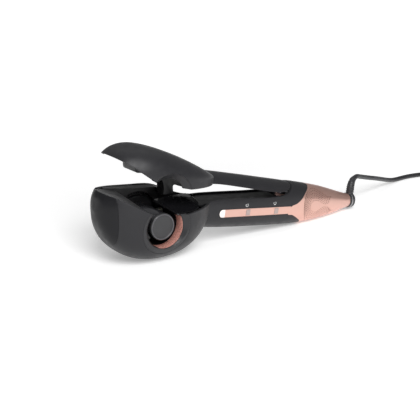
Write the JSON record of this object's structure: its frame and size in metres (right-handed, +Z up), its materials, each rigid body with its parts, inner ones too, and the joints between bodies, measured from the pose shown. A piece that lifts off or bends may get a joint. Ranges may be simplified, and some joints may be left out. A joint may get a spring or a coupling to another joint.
{
  "type": "automatic hair curling iron",
  "caption": "Automatic curling iron: egg-shaped curling head with an open lever lid over a heated barrel and winding rotor, control handle, vented tail and swivelling mains lead.",
  "frame": {"origin": "on the surface it lies on, under the middle of the body's length and width", "axes": "+X from the nose to the tail and lead, +Y from the barrel's open end towards the drive, +Z up"},
  "size_m": [0.5225, 0.1016, 0.1059],
  "materials": {
    "soft_black": "satin soft-touch",
    "nose_black": "satin",
    "liner_black": "matt",
    "bezel_grey": "satin",
    "gloss_black": "polished",
    "cap_grey": "satin",
    "rose_gold": "satin metallised",
    "barrel_ceramic": "dark ceramic coating",
    "heater_ceramic": "matt",
    "gear_nylon": "matt",
    "steel": "brushed",
    "motor_can": "zinc plated",
    "brass": "machined",
    "light_window": "frosted",
    "key_grey": "satin",
    "board_green": "solder mask",
    "collar_black": "satin",
    "cord_rubber": "satin",
    "tie_grey": "matt",
    "plug_black": "satin",
    "pin_metal": "nickel plated"
  },
  "bodies": {
    "root": {"housing_near": "soft_black", "housing_far": "soft_black", "nose_panel": "nose_black", "chamber_rim": "soft_black", "chamber_liner": "liner_black", "chamber_ring": "rose_gold", "opening_bezel": "bezel_grey", "deck_plate": "gloss_black", "barrel": "barrel_ceramic", "barrel_cap": "cap_grey", "barrel_carrier": "liner_black", "heater_core": "heater_ceramic", "thermistor": "heater_ceramic", "idler_shaft": "steel", "motor": "motor_can", "motor_bracket": "steel", "gear_housing": "liner_black", "hinge_pin": "steel", "hinge_bracket": "steel", "lid_spring": "steel", "lid_switch": "liner_black", "lever_tray": "liner_black", "control_strip": "rose_gold", "light_window": "light_window", "key_switches": "liner_black", "circuit_board": "board_green", "housing_screws": "steel", "tail_shell": "rose_gold", "vent_screen": "liner_black", "swivel_socket": "liner_black", "cord": "cord_rubber", "cord_coil": "cord_rubber", "cord_tie": "tie_grey", "cord_tail": "cord_rubber", "plug_body": "plug_black", "plug_pins": "pin_metal"},
    "lid": {"lid_cover": "soft_black", "lid_liner": "liner_black", "lid_bezel": "bezel_grey", "guide_shoe": "liner_black", "lever_arm": "soft_black", "lever_plate": "liner_black", "lever_knuckle": "steel"},
    "rotor": {"rotor": "liner_black", "rotor_gear": "gear_nylon"},
    "idler": {"idler_gear": "gear_nylon"},
    "motor_rotor": {"motor_pinion": "brass"},
    "timer_key": {"timer_key": "key_grey"},
    "heat_key": {"heat_key": "key_grey"},
    "swivel": {"swivel_collar": "collar_black", "swivel_ring": "steel", "cord_boot": "cord_rubber"}
  },
  "joints": [
    {"name": "lid_hinge", "type": "hinge", "parent": "root", "child": "lid", "pos_m": [0.0589, 0, 0.0352], "axis": [0, -1, 0], "range_deg": [0, 8.8], "stiffness_Nm_per_rad": 0.4, "springref_deg": -28.65},
    {"name": "rotor_spin", "type": "hinge", "parent": "root", "child": "rotor", "pos_m": [-0.0991, 0, 0.0342], "axis": [0, 1, 0], "continuous": true},
    {"name": "idler_spin", "type": "hinge", "parent": "root", "child": "idler", "pos_m": [-0.07415, 0.023, 0.02975], "axis": [0, 1, 0], "continuous": true},
    {"name": "motor_spin", "type": "hinge", "parent": "root", "child": "motor_rotor", "pos_m": [-0.0655, 0.02, 0.02475], "axis": [0, 1, 0], "continuous": true},
    {"name": "timer_key_press", "type": "slide", "parent": "root", "child": "timer_key", "axis": [0, 1, 0], "range_m": [0, 0.0008], "stiffness_N_per_m": 800, "springref_m": -0.0005},
    {"name": "heat_key_press", "type": "slide", "parent": "root", "child": "heat_key", "axis": [0, 1, 0], "range_m": [0, 0.0008], "stiffness_N_per_m": 800, "springref_m": -0.0005},
    {"name": "cord_swivel", "type": "hinge", "parent": "root", "child": "swivel", "pos_m": [0.1444, 0, 0.0101], "axis": [0.9907, 0, -0.1357], "continuous": true}
  ],
  "couplings": [
    {"joint": "idler_spin", "follows": "rotor_spin", "ratio": -3.6667},
    {"joint": "motor_spin", "follows": "rotor_spin", "ratio": 4.4}
  ]
}
